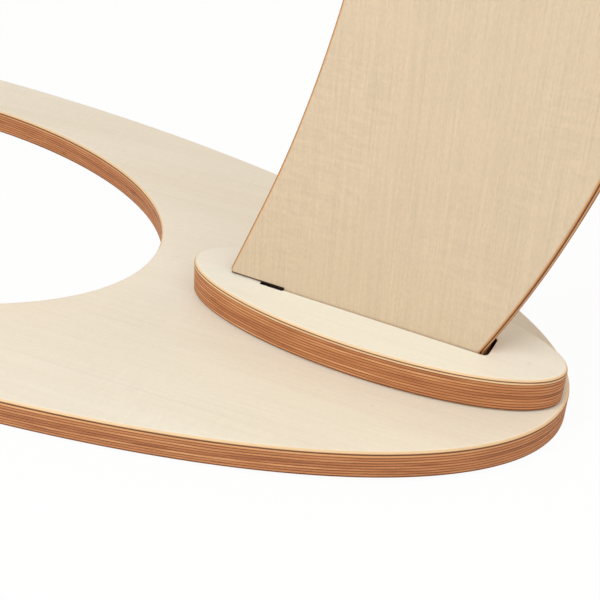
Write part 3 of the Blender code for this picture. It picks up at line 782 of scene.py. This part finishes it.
class GONG_OT_base_plate(bpy.types.Operator):
    """Model the elliptical base plate with its window, pockets and screw holes"""

    bl_idname = "gong_stand.base_plate"
    bl_label = "Base Plate"

    def execute(self, context):
        plates = context.scene.gong_stand.plates
        tones = context.scene.gong_stand.tones
        middle = (BASE_LOW + BASE_HIGH) / 2
        thickness = BASE_HIGH.z - BASE_LOW.z
        start_fresh()
        # The window's outline is drawn out to the rim, and the flat sheet is then thickened
        bpy.ops.mesh.primitive_circle_add(vertices=plates.rim_sides, radius=1, fill_type="NOTHING",
                                          location=(middle.x, middle.y, BASE_LOW.z))
        base = settle("base_plate_wood")
        pick(base, "VERT", lambda vert: True)
        bpy.ops.transform.resize(value=(plates.window_length, plates.window_width, 1),
                                 center_override=middle)
        pick(base, "EDGE", lambda edge: True)
        draw_up((0, 0, 0))
        bpy.ops.transform.resize(value=(BASE_HIGH.x / plates.window_length,
                                        BASE_HIGH.y / plates.window_width, 1), center_override=middle)
        pick(base, "FACE", lambda face: True)
        draw_up((0, 0, thickness))
        leave_edit()
        clean(base)
        round_rims(base, BASE_LOW.z, BASE_HIGH.z, plates.edge_round)
        for side in (-1, 1):
            cut(base, slot_tool(side * plates.foot_slot_x, plates.foot_slot_half, plates,
                                BASE_HIGH.z - plates.pocket_depth, BASE_HIGH.z, 0.0))
        for node in SCREWS:
            cut(base, screw_tool(node, context.scene.gong_stand.hardware))
        sheet = plate_sheet(BASE_LOW, BASE_HIGH, pitch=0.00179, veneer=0.00155, turn=math.radians(-3.9),
                            strip_width=0.195, strip_start=0.069, grain_strength=0.7)
        slot = plate_slot(plates, plates.foot_slot_x, plates.foot_slot_half, plates.relief_length)
        plywood = Plywood("maple_plywood_base", sheet)
        wood = plywood.finished(tones, tones.plate_face, tones.veneer_edge, tones.ply_light, slot=slot)
        dress(base, wood, "base", "plate_wood", "base_plate")
        return {"FINISHED"}


class GONG_OT_supports(bpy.types.Operator):
    """Model the two slotted support plates"""

    bl_idname = "gong_stand.supports"
    bl_label = "Support Plates"

    def execute(self, context):
        plates = context.scene.gong_stand.plates
        tones = context.scene.gong_stand.tones
        right = ellipse_plate("right_support_wood", SUPPORT_LOW, SUPPORT_HIGH, plates.rim_sides * 2 // 3)
        round_rims(right, SUPPORT_LOW.z, SUPPORT_HIGH.z, plates.edge_round)
        cut(right, slot_tool(plates.foot_slot_x, plates.foot_slot_half, plates, SUPPORT_LOW.z - OVERSHOOT,
                             SUPPORT_HIGH.z, plates.slot_flare))
        cut(right, self.relief_tool(plates))
        for node in RIGHT_SCREWS:
            cut(right, screw_tool(node, context.scene.gong_stand.hardware))
        left = copied(right, "left_support_wood", flip=True)
        sheet = plate_sheet(SUPPORT_LOW, SUPPORT_HIGH, pitch=0.00184, veneer=0.00138,
                            turn=math.radians(-1.0), strip_width=0.17, strip_start=0.045,
                            grain_strength=0.6)
        slot = plate_slot(plates, plates.foot_slot_x, plates.foot_slot_half, plates.relief_length)
        plywood = Plywood("maple_plywood_supports", sheet)
        wood = plywood.finished(tones, tones.support_face, tones.veneer_edge, tones.pale_ply, slot=slot)
        for piece, side in ((left, "left"), (right, "right")):
            dress(piece, wood, "base", "plate_wood", side + "_support")
        return {"FINISHED"}

    def relief_tool(self, plates):
        """Tool that widens the slot's inner end, which the tenon leaves open."""
        start_fresh()
        inset = 0.0003
        half = (plates.relief_length - 2 * inset) / 2
        width = plates.slot_half_width + plates.relief_depth
        height = SUPPORT_HIGH.z - SUPPORT_LOW.z + 2 * OVERSHOOT
        middle = Vector((plates.foot_slot_x - plates.foot_slot_half + inset + half, 0,
                         (SUPPORT_LOW.z + SUPPORT_HIGH.z) / 2))
        bpy.ops.mesh.primitive_cube_add(size=1, location=middle, scale=(2 * half, 2 * width, height))
        tool = settle("relief_tool")
        pick(tool, "EDGE", upright)
        bevel(plates.relief_depth * 0.7, 3)
        leave_edit()
        return tool


class GONG_OT_arms(bpy.types.Operator):
    """Model the two curved arms with their tenons and rounded long edges"""

    bl_idname = "gong_stand.arms"
    bl_label = "Arms"

    def execute(self, context):
        arms = context.scene.gong_stand.arms
        plates = context.scene.gong_stand.plates
        tones = context.scene.gong_stand.tones
        right = self.blank(arms)
        self.add_tenons(right, arms)
        self.thicken(right, arms)
        left = copied(right, "left_arm_wood", flip=True)
        sheet = Sheet(across=1, middle=0.0, thickness=ARM_HIGH.y - ARM_LOW.y, pitch=0.00179,
                      veneer=0.00085, grain=2, turn=0.0, strip_width=0.40, strip_start=0.17,
                      grain_strength=1.5)
        foot = Foot(arms.seat, arms.tenon_inner_x, plates.foot_slot_x - plates.foot_slot_half)
        plywood = Plywood("maple_plywood_arms", sheet)
        wood = plywood.finished(tones, tones.arm_face, tones.arm_edge, tones.ply_light, foot=foot)
        for piece, side in ((left, "left"), (right, "right")):
            dress(piece, wood, "arms", "arm_wood", side + "_arm")
        return {"FINISHED"}

    def blank(self, arms):
        """Front face of the right arm between its shoulders, drawn up row by row."""
        inner, outer = arm_edges(arms)
        width = arms.foot_outer_x - arms.foot_inner_x
        first = arms.rise / arms.rows
        tenon_share = (arms.top_width - arms.top_tenon) / 2 / arms.top_width
        middle = (arms.foot_inner_x + width / 2, ARM_LOW.y, arms.seat + first / 2)
        start_fresh()
        bpy.ops.mesh.primitive_plane_add(size=1, rotation=(math.pi / 2, 0, 0), location=middle)
        piece = settle("right_arm_wood")
        pick(piece, "VERT", lambda vert: True)
        bpy.ops.transform.resize(value=(width, 1, first), center_override=middle)
        for cut_x in (arms.foot_inner_x + width * tenon_share, arms.tenon_inner_x,
                      arms.foot_outer_x - width * tenon_share):
            bpy.ops.mesh.select_all(action="SELECT")
            bpy.ops.mesh.bisect(plane_co=(cut_x, 0, 0), plane_no=(1, 0, 0))
        low_x, high_x = arms.foot_inner_x, arms.foot_outer_x
        pick(piece, "EDGE", lambda edge: level_edge(edge, arms.seat + first))
        for row in range(1, arms.rows + 1):
            height = arms.rise * row / arms.rows
            next_low, next_high = inner(height), outer(height)
            step = ((next_low + next_high - low_x - high_x) / 2, 0, 0 if row == 1 else first)
            if row == 1:
                bpy.ops.transform.translate(value=step)
            else:
                draw_up(step)
            bpy.ops.transform.resize(value=((next_high - next_low) / (high_x - low_x), 1, 1),
                                     center_override=((next_low + next_high) / 2, 0, 0))
            low_x, high_x = next_low, next_high
        return piece

    def add_tenons(self, piece, arms):
        """Draw the tenons out of the foot and the top, and round their corners."""
        top = arms.seat + arms.rise
        middle = arms.top_inner_x + arms.top_width / 2
        half = arms.top_tenon / 2 + TINY
        lead = 0.006
        pick(piece, "EDGE", lambda edge: level_edge(edge, top)
             and all(abs(vert.co.x - middle) < half for vert in edge.verts))
        for step in (arms.plain_tenon, lead, ARM_HIGH.z - top - arms.plain_tenon - lead):
            draw_up((0, 0, step))
        pick(piece, "EDGE", lambda edge: level_edge(edge, arms.seat)
             and all(vert.co.x > arms.tenon_inner_x - TINY for vert in edge.verts))
        draw_up((0, 0, ARM_LOW.z - arms.seat))
        ends = [(arms.tenon_inner_x, ARM_LOW.z), (arms.foot_outer_x, ARM_LOW.z),
                (middle - arms.top_tenon / 2, ARM_HIGH.z), (middle + arms.top_tenon / 2, ARM_HIGH.z)]
        pick(piece, "VERT", lambda vert: any(abs(vert.co.x - x) < TINY and abs(vert.co.z - z) < TINY
                                             for x, z in ends))
        bevel(arms.tenon_corner, 6, "VERTICES")
        pick(piece, "VERT", lambda vert: abs(vert.co.x - arms.foot_inner_x) < TINY
             and vert.co.z < arms.seat + TINY)
        bevel(arms.foot_corner, 4, "VERTICES")

    def thicken(self, piece, arms):
        """Give the blank its thickness and round its edges, but for the top shoulder and in the slots."""
        pick(piece, "FACE", lambda face: True)
        draw_up((0, ARM_HIGH.y - ARM_LOW.y, 0))
        leave_edit()
        clean(piece)
        foot, top = arms.seat, arms.seat + arms.rise
        inner_side = arms.tenon_inner_x + arms.tenon_corner + TINY

        def on_shoulder(edge):
            inside = all(vert.co.x < arms.tenon_inner_x + TINY for vert in edge.verts)
            return inside and level_edge(edge, foot) and beside_wall(edge, 1)

        def side(edge):
            """Way that a long edge's wall faces: below 0 is inwards, and None is no edge to round."""
            first, second = edge.verts
            middle = (first.co + second.co) / 2
            if abs(first.co.y - second.co.y) > TINY or level_edge(edge, foot) or level_edge(edge, top):
                return None
            if middle.z < foot and middle.x < inner_side or top < middle.z < top + arms.plain_tenon:
                return None
            walls = [face.normal.x for face in edge.link_faces if abs(face.normal.y) < 0.1]
            fronts = [face for face in edge.link_faces if abs(face.normal.y) > 0.999]
            if not walls or not fronts:
                return None
            return 1 if middle.z > top else walls[0]

        for test, radius, segments in (
                (on_shoulder, arms.shoulder_round, 3),
                (lambda edge: side(edge) is not None and side(edge) < -TINY, arms.inner_round, 5),
                (lambda edge: side(edge) is not None and side(edge) >= -TINY, arms.edge_round, 6)):
            pick(piece, "EDGE", test)
            bevel(radius, segments)
        leave_edit()


class GONG_OT_bridge(bpy.types.Operator):
    """Model the slotted bridge across the top of the arms"""

    bl_idname = "gong_stand.bridge"
    bl_label = "Top Bridge"

    def execute(self, context):
        plates = context.scene.gong_stand.plates
        hardware = context.scene.gong_stand.hardware
        tones = context.scene.gong_stand.tones
        bridge = ellipse_plate("top_bridge_wood", BRIDGE_LOW, BRIDGE_HIGH, plates.rim_sides)
        round_rims(bridge, BRIDGE_LOW.z, BRIDGE_HIGH.z, plates.edge_round)
        eye_x = (EYE_LOW.x + EYE_HIGH.x) / 2
        bore = hardware.bolt_radius + hardware.bolt_clearance
        for side in (-1, 1):
            cut(bridge, slot_tool(side * plates.top_slot_x, plates.top_slot_half, plates,
                                  BRIDGE_LOW.z - OVERSHOOT, BRIDGE_HIGH.z, plates.slot_flare))
            bore_ends = [(bore, BRIDGE_LOW.z - OVERSHOOT), (bore, BRIDGE_HIGH.z + OVERSHOOT)]
            cut(bridge, turned("bolt_tool", (side * eye_x, 0), bore_ends, 48))
        sheet = plate_sheet(BRIDGE_LOW, BRIDGE_HIGH, pitch=0.00184, veneer=0.00138,
                            turn=math.radians(1.0), strip_width=0.19, strip_start=0.06,
                            grain_strength=1.0)
        tenon_play = 0.001
        slot = plate_slot(plates, plates.top_slot_x, plates.top_slot_half, tenon_play)
        plywood = Plywood("maple_plywood_bridge", sheet)
        wood = plywood.finished(tones, tones.support_face, tones.veneer_edge, tones.pale_ply, slot=slot)
        dress(bridge, wood, "bridge", "plate_wood", "top_bridge")
        return {"FINISHED"}


class GONG_OT_eyebolts(bpy.types.Operator):
    """Model the eye bolts with their washers and cap nuts"""

    bl_idname = "gong_stand.eyebolts"
    bl_label = "Eye Bolts"

    def execute(self, context):
        hardware = context.scene.gong_stand.hardware
        metal = steel("stainless_steel", context.scene.gong_stand.tones.stainless, 0.24, 2, 1500.0)
        eye_x = (EYE_LOW.x + EYE_HIGH.x) / 2
        models = [("eyebolt", self.eyebolt(eye_x, hardware)),
                  ("cap_nut", self.cap_nut(eye_x, hardware)),
                  ("lower_washer", self.washer("right_lower_washer", hardware)),
                  ("upper_washer", self.washer("right_upper_washer", hardware))]
        for kind, right in models:
            left = copied(right, f"left_{kind}_steel", step=(-2 * eye_x, 0, 0))
            for piece, side in ((left, "left"), (right, "right")):
                dress(piece, metal, "bridge", "stainless", f"{side}_{kind}")
        return {"FINISHED"}

    def eyebolt(self, eye_x, hardware):
        """Wire eye on a collar and a shank with a chamfered end."""
        start_fresh()
        wire = hardware.eye_wire
        eye_radius = (EYE_HIGH.x - EYE_LOW.x) / 2 - wire
        eye_z = EYE_LOW.z + wire + eye_radius
        collar_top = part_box("right_lower_washer")[0].z - SEAT_GAP
        collar_low = collar_top - hardware.collar_height
        bpy.ops.mesh.primitive_torus_add(location=(eye_x, 0, eye_z), rotation=(math.pi / 2, 0, 0),
                                         major_radius=eye_radius, minor_radius=wire, major_segments=72,
                                         minor_segments=24)
        eye = settle("right_eyebolt_steel")
        collar = hardware.collar_radius
        bolt = hardware.bolt_radius
        low_soft = 0.0006
        top_soft = 0.0005
        chamfer = 0.0008
        root = (0.0022, eye_z + eye_radius)
        throat = (0.0048, collar_low - 2 * low_soft)
        profile = [root, throat, (collar - low_soft, collar_low), (collar, collar_low + low_soft),
                   (collar, collar_top - top_soft), (collar - top_soft, collar_top), (bolt, collar_top),
                   (bolt, EYE_HIGH.z - chamfer), (bolt - chamfer, EYE_HIGH.z)]
        cut(eye, turned("shank_tool", (eye_x, 0), profile, 48, math.radians(3.75)), "UNION")
        return eye

    def cap_nut(self, eye_x, hardware):
        """Hexagon with turned corners, a round dome and a bore for the shank."""
        bottom = NUT_LOW.z
        corner = (NUT_HIGH.x - NUT_LOW.x) / 2
        flats = corner * math.cos(math.pi / 6)
        top = bottom + hardware.hex_height
        nut = turned("right_cap_nut_steel", (eye_x, 0), [(corner, bottom), (corner, top)], 6, math.pi / 6)
        # A round tool takes the hexagon's corners off at both ends
        width = corner - flats
        past = 0.0002
        turning = [(flats, bottom - past / 2), (corner + past, bottom + width * 0.6),
                   (corner + past, top - width * 0.8), (flats - past, top + past / 2)]
        cut(nut, turned("turning_tool", (eye_x, 0), turning, 96), "INTERSECT")
        dome = [(hardware.dome_radius, top - OVERSHOOT), (hardware.dome_radius, top)]
        steps = 12
        for step in range(1, steps):
            turn = step * math.pi / 2 / steps
            dome.append((hardware.dome_radius * math.cos(turn),
                         top + hardware.dome_radius * math.sin(turn)))
        cut(nut, turned("dome_tool", (eye_x, 0), dome, 60, math.radians(3)), "UNION")
        bore = hardware.bolt_radius + hardware.bolt_clearance
        bore_ends = [(bore, bottom - 0.001), (bore, bottom + hardware.bore_depth)]
        cut(nut, turned("bore_tool", (eye_x, 0), bore_ends, 48))
        return nut

    def washer(self, node, hardware):
        """Flat washer with a softened outer rim."""
        low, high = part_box(node)
        middle = (low + high) / 2
        radius = (high.x - low.x) / 2
        soft = 0.0003
        piece = turned(node + "_steel", middle, [(radius - soft, low.z), (radius, low.z + soft),
                                                 (radius, high.z - soft), (radius - soft, high.z)], 72)
        bore = hardware.bolt_radius + hardware.bolt_clearance
        cut(piece, turned("bore_tool", middle, [(bore, low.z - 0.001), (bore, high.z + 0.001)], 48))
        return piece


class GONG_OT_rings(bpy.types.Operator):
    """Model the loose rings in the eyes, with the small seam of their weld"""

    bl_idname = "gong_stand.rings"
    bl_label = "Rings"

    def execute(self, context):
        hardware = context.scene.gong_stand.hardware
        metal = steel("polished_stainless_steel", context.scene.gong_stand.tones.stainless, 0.18, 0, 1100.0)
        middle = (RING_LOW + RING_HIGH) / 2
        wire = hardware.ring_wire
        radius = (RING_HIGH.y - RING_LOW.y) / 2 - wire
        start_fresh()
        bpy.ops.mesh.primitive_torus_add(location=middle, rotation=(0, math.pi / 2, 0), major_radius=radius,
                                         minor_radius=wire, major_segments=96, minor_segments=24)
        right = settle("right_ring_steel")
        # The weld is a thin raised band on the lower front of the ring
        turn = 0.9
        seam = Vector((0, -math.sin(turn), -math.cos(turn)))

        def at_weld(vert):
            away = Vector((0, vert.co.y - middle.y, vert.co.z - middle.z)).normalized()
            return away.dot(seam) > math.cos(math.radians(2.5))

        pick(right, "VERT", at_weld)
        bpy.ops.transform.shrink_fatten(value=0.00012)
        leave_edit()
        left = copied(right, "left_ring_steel", step=(-2 * middle.x, 0, 0))
        for piece, side in ((left, "left"), (right, "right")):
            dress(piece, metal, side + "_ring", "stainless", side + "_ring")
        return {"FINISHED"}


class GONG_OT_screws(bpy.types.Operator):
    """Model the countersunk screws that hold the support plates from below"""

    bl_idname = "gong_stand.screws"
    bl_label = "Screws"

    def execute(self, context):
        hardware = context.scene.gong_stand.hardware
        metal = steel("zinc_plated_steel", context.scene.gong_stand.tones.zinc, 0.34, 0, 900.0)
        low, high = SCREW_LOW, SCREW_HIGH
        middle = (low + high) / 2
        head = (high.x - low.x) / 2
        shank = hardware.screw_shank
        core = shank * 0.78
        neck = low.z + hardware.screw_head
        plain_shank = 0.008
        height = neck + plain_shank
        pitch = 0.0012
        soft = 0.0002
        point = 0.004
        profile = [(head - soft, low.z), (head, low.z + soft), (shank, neck), (shank, height)]
        while height + pitch < high.z - point - 0.001:
            profile += [(core, height + pitch * 0.3), (core, height + pitch * 0.62),
                        (shank, height + pitch)]
            height += pitch
        profile += [(shank * 0.8, high.z - point), (0.0002, high.z)]
        model = turned("screw_model", middle, profile, 40)
        socket_end = low.z + hardware.socket_depth
        socket = [(hardware.socket_radius, low.z - 0.001), (hardware.socket_radius, socket_end),
                  (0.0003, socket_end + 0.0004)]
        cut(model, turned("socket_tool", middle, socket, 6))
        for node in SCREWS:
            place = sum(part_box(node), Vector()) / 2
            piece = copied(model, node + "_steel", step=tuple(place - middle))
            dress(piece, metal, "base", "zinc_steel", node)
        bpy.data.objects.remove(model)
        return {"FINISHED"}


class GONG_OT_foot_pads(bpy.types.Operator):
    """Model the round felt pads under the base"""

    bl_idname = "gong_stand.foot_pads"
    bl_label = "Foot Pads"

    def execute(self, context):
        wool = felt("grey_felt", context.scene.gong_stand.tones.felt)
        low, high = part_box(PADS[0])
        middle = (low + high) / 2
        radius = (high.x - low.x) / 2
        thick = high.z - low.z
        # How far the worn rim lies inside the full radius, and its height
        rim = [(0.0009, low.z), (0.0003, low.z + 0.0002), (0.0, low.z + 0.0008),
               (0.0001, low.z + thick * 0.55), (0.0, high.z - 0.0006), (0.0003, high.z - 0.0002),
               (0.0007, high.z)]
        model = turned("pad_model", middle, [(radius - inset, height) for inset, height in rim], 96)
        for node in PADS:
            place = sum(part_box(node), Vector()) / 2
            piece = copied(model, node + "_felt", step=tuple(place - middle))
            dress(piece, wool, "base", "pad_felt", node)
        bpy.data.objects.remove(model)
        return {"FINISHED"}


class GONG_OT_stage(bpy.types.Operator):
    """Set up the white floor, the soft light and the camera"""

    bl_idname = "gong_stand.stage"
    bl_label = "Floor, Light and Camera"

    def execute(self, context):
        self.floor()
        self.world(context.scene)
        # Each lamp has its place, its size across, its power in watts and its colour
        self.lamp("soft_key", (-0.35, -1.4, 1.6), 1.8, 38.5, COOL_LIGHT)
        self.lamp("end_light", (1.0, -0.15, 0.9), 0.6, 1.6, COOL_LIGHT)
        self.lamp("soft_fill", (1.8, -1.3, 1.5), 1.4, 7.0, COOL_LIGHT)
        self.lamp("back_light", (1.4, 1.7, 0.7), 1.3, 8.0, WARM_LIGHT)
        self.camera(context.scene)
        context.scene.view_settings.view_transform = "Standard"
        return {"FINISHED"}

    def floor(self):
        """White floor that shows as white to the camera but for the stand's soft shadow."""
        start_fresh()
        bpy.ops.mesh.primitive_circle_add(vertices=96, radius=6, fill_type="NGON", location=(0, 0, 0))
        floor = settle("floor")
        recipe = Recipe("white_floor")
        paper = recipe.add("ShaderNodeBsdfDiffuse", {}, {"Color": (0.86, 0.86, 0.86, 1)})
        white = recipe.add("ShaderNodeEmission", {}, {"Color": (1, 1, 1, 1), "Strength": 1.0})
        seen = recipe.add("ShaderNodeLightPath", {}, {}, "Is Camera Ray")
        recipe.add_output(recipe.add("ShaderNodeMixShader", {}, {0: seen * 0.95, 1: paper, 2: white}))
        floor.data.materials.append(recipe.material)

    def world(self, scene):
        """Soft warm light all round, which the camera, metal and lacquer see as white."""
        world = bpy.data.worlds.new("studio")
        world.use_nodes = True
        tree = world.node_tree
        tree.nodes.clear()
        path = tree.nodes.new("ShaderNodeLightPath")
        seen = tree.nodes.new("ShaderNodeMath")
        seen.operation = "MAXIMUM"
        tree.links.new(path.outputs["Is Camera Ray"], seen.inputs[0])
        tree.links.new(path.outputs["Is Glossy Ray"], seen.inputs[1])
        lights = []
        for colour, strength in (((1, 0.90, 0.75, 1), 0.46), ((1, 1, 1, 1), 1.0)):
            light = tree.nodes.new("ShaderNodeBackground")
            light.inputs["Color"].default_value = colour
            light.inputs["Strength"].default_value = strength
            lights.append(light)
        mix = tree.nodes.new("ShaderNodeMixShader")
        tree.links.new(seen.outputs[0], mix.inputs[0])
        tree.links.new(lights[0].outputs[0], mix.inputs[1])
        tree.links.new(lights[1].outputs[0], mix.inputs[2])
        output = tree.nodes.new("ShaderNodeOutputWorld")
        tree.links.new(mix.outputs[0], output.inputs["Surface"])
        scene.world = world

    def lamp(self, name, place, size, power, colour):
        """Round soft lamp that looks at the base, a little to the right of its middle."""
        start_fresh()
        bpy.ops.object.light_add(type="AREA", location=place)
        lamp = bpy.context.object
        lamp.name = name
        lamp.data.shape = "DISK"
        lamp.data.size = size
        lamp.data.energy = power
        lamp.data.color = colour
        aim = Vector((0.15, 0, 0.1)) - Vector(place)
        lamp.rotation_euler = aim.to_track_quat("-Z", "Y").to_euler()

    def camera(self, scene):
        """Close view down onto the right-hand end, as in the photograph."""
        start_fresh()
        bpy.ops.object.camera_add()
        camera = bpy.context.object
        camera.name = "close_view"
        right = Vector((0.8931, 0.4465, 0.0557))
        up = Vector((-0.2905, 0.4776, 0.8292))
        ahead = Vector((-0.3436, 0.7567, -0.5562))
        turn = Matrix((right, up, -ahead)).transposed().to_quaternion()
        camera.rotation_euler = turn.to_euler()
        camera.location = (0.5868, -0.5626, 0.4457)
        camera.data.sensor_fit = "HORIZONTAL"
        camera.data.sensor_width = 36
        camera.data.lens = 76.73
        camera.data.clip_start = 0.01
        scene.camera = camera


class GONG_PT_stand(bpy.types.Panel):
    """Lists the stand's pieces and sizes"""

    bl_idname = "GONG_PT_stand"
    bl_label = "Gong Stand"
    bl_space_type = "VIEW_3D"
    bl_region_type = "UI"
    bl_category = "Gong Stand"

    def draw(self, context):
        column = self.layout.column(align=True)
        for operator in OPERATORS:
            column.operator(operator.bl_idname)
        settings = context.scene.gong_stand
        for title, group in (("Plates", settings.plates), ("Arms", settings.arms),
                             ("Hardware", settings.hardware), ("Finishes", settings.tones)):
            box = self.layout.box()
            box.label(text=title)
            for name in group.bl_rna.properties.keys():
                if name not in ("rna_type", "name"):
                    box.prop(group, name)


OPERATORS = (GONG_OT_base_plate, GONG_OT_supports, GONG_OT_arms, GONG_OT_bridge, GONG_OT_eyebolts,
             GONG_OT_rings, GONG_OT_screws, GONG_OT_foot_pads, GONG_OT_stage)
CLASSES = (PlateSizes, ArmSizes, HardwareSizes, FinishTones, StandSettings, *OPERATORS, GONG_PT_stand)


def register():
    for item in CLASSES:
        bpy.utils.register_class(item)
    bpy.types.Scene.gong_stand = PointerProperty(type=StandSettings, name="Gong Stand",
                                                 description="Sizes and colours of the gong stand")


def unregister():
    del bpy.types.Scene.gong_stand
    for item in reversed(CLASSES):
        bpy.utils.unregister_class(item)


def main():
    register()
    bpy.ops.gong_stand.base_plate()
    bpy.ops.gong_stand.supports()
    bpy.ops.gong_stand.arms()
    bpy.ops.gong_stand.bridge()
    bpy.ops.gong_stand.eyebolts()
    bpy.ops.gong_stand.rings()
    bpy.ops.gong_stand.screws()
    bpy.ops.gong_stand.foot_pads()
    bpy.ops.gong_stand.stage()
    start_fresh()


if __name__ == "__main__":
    main()
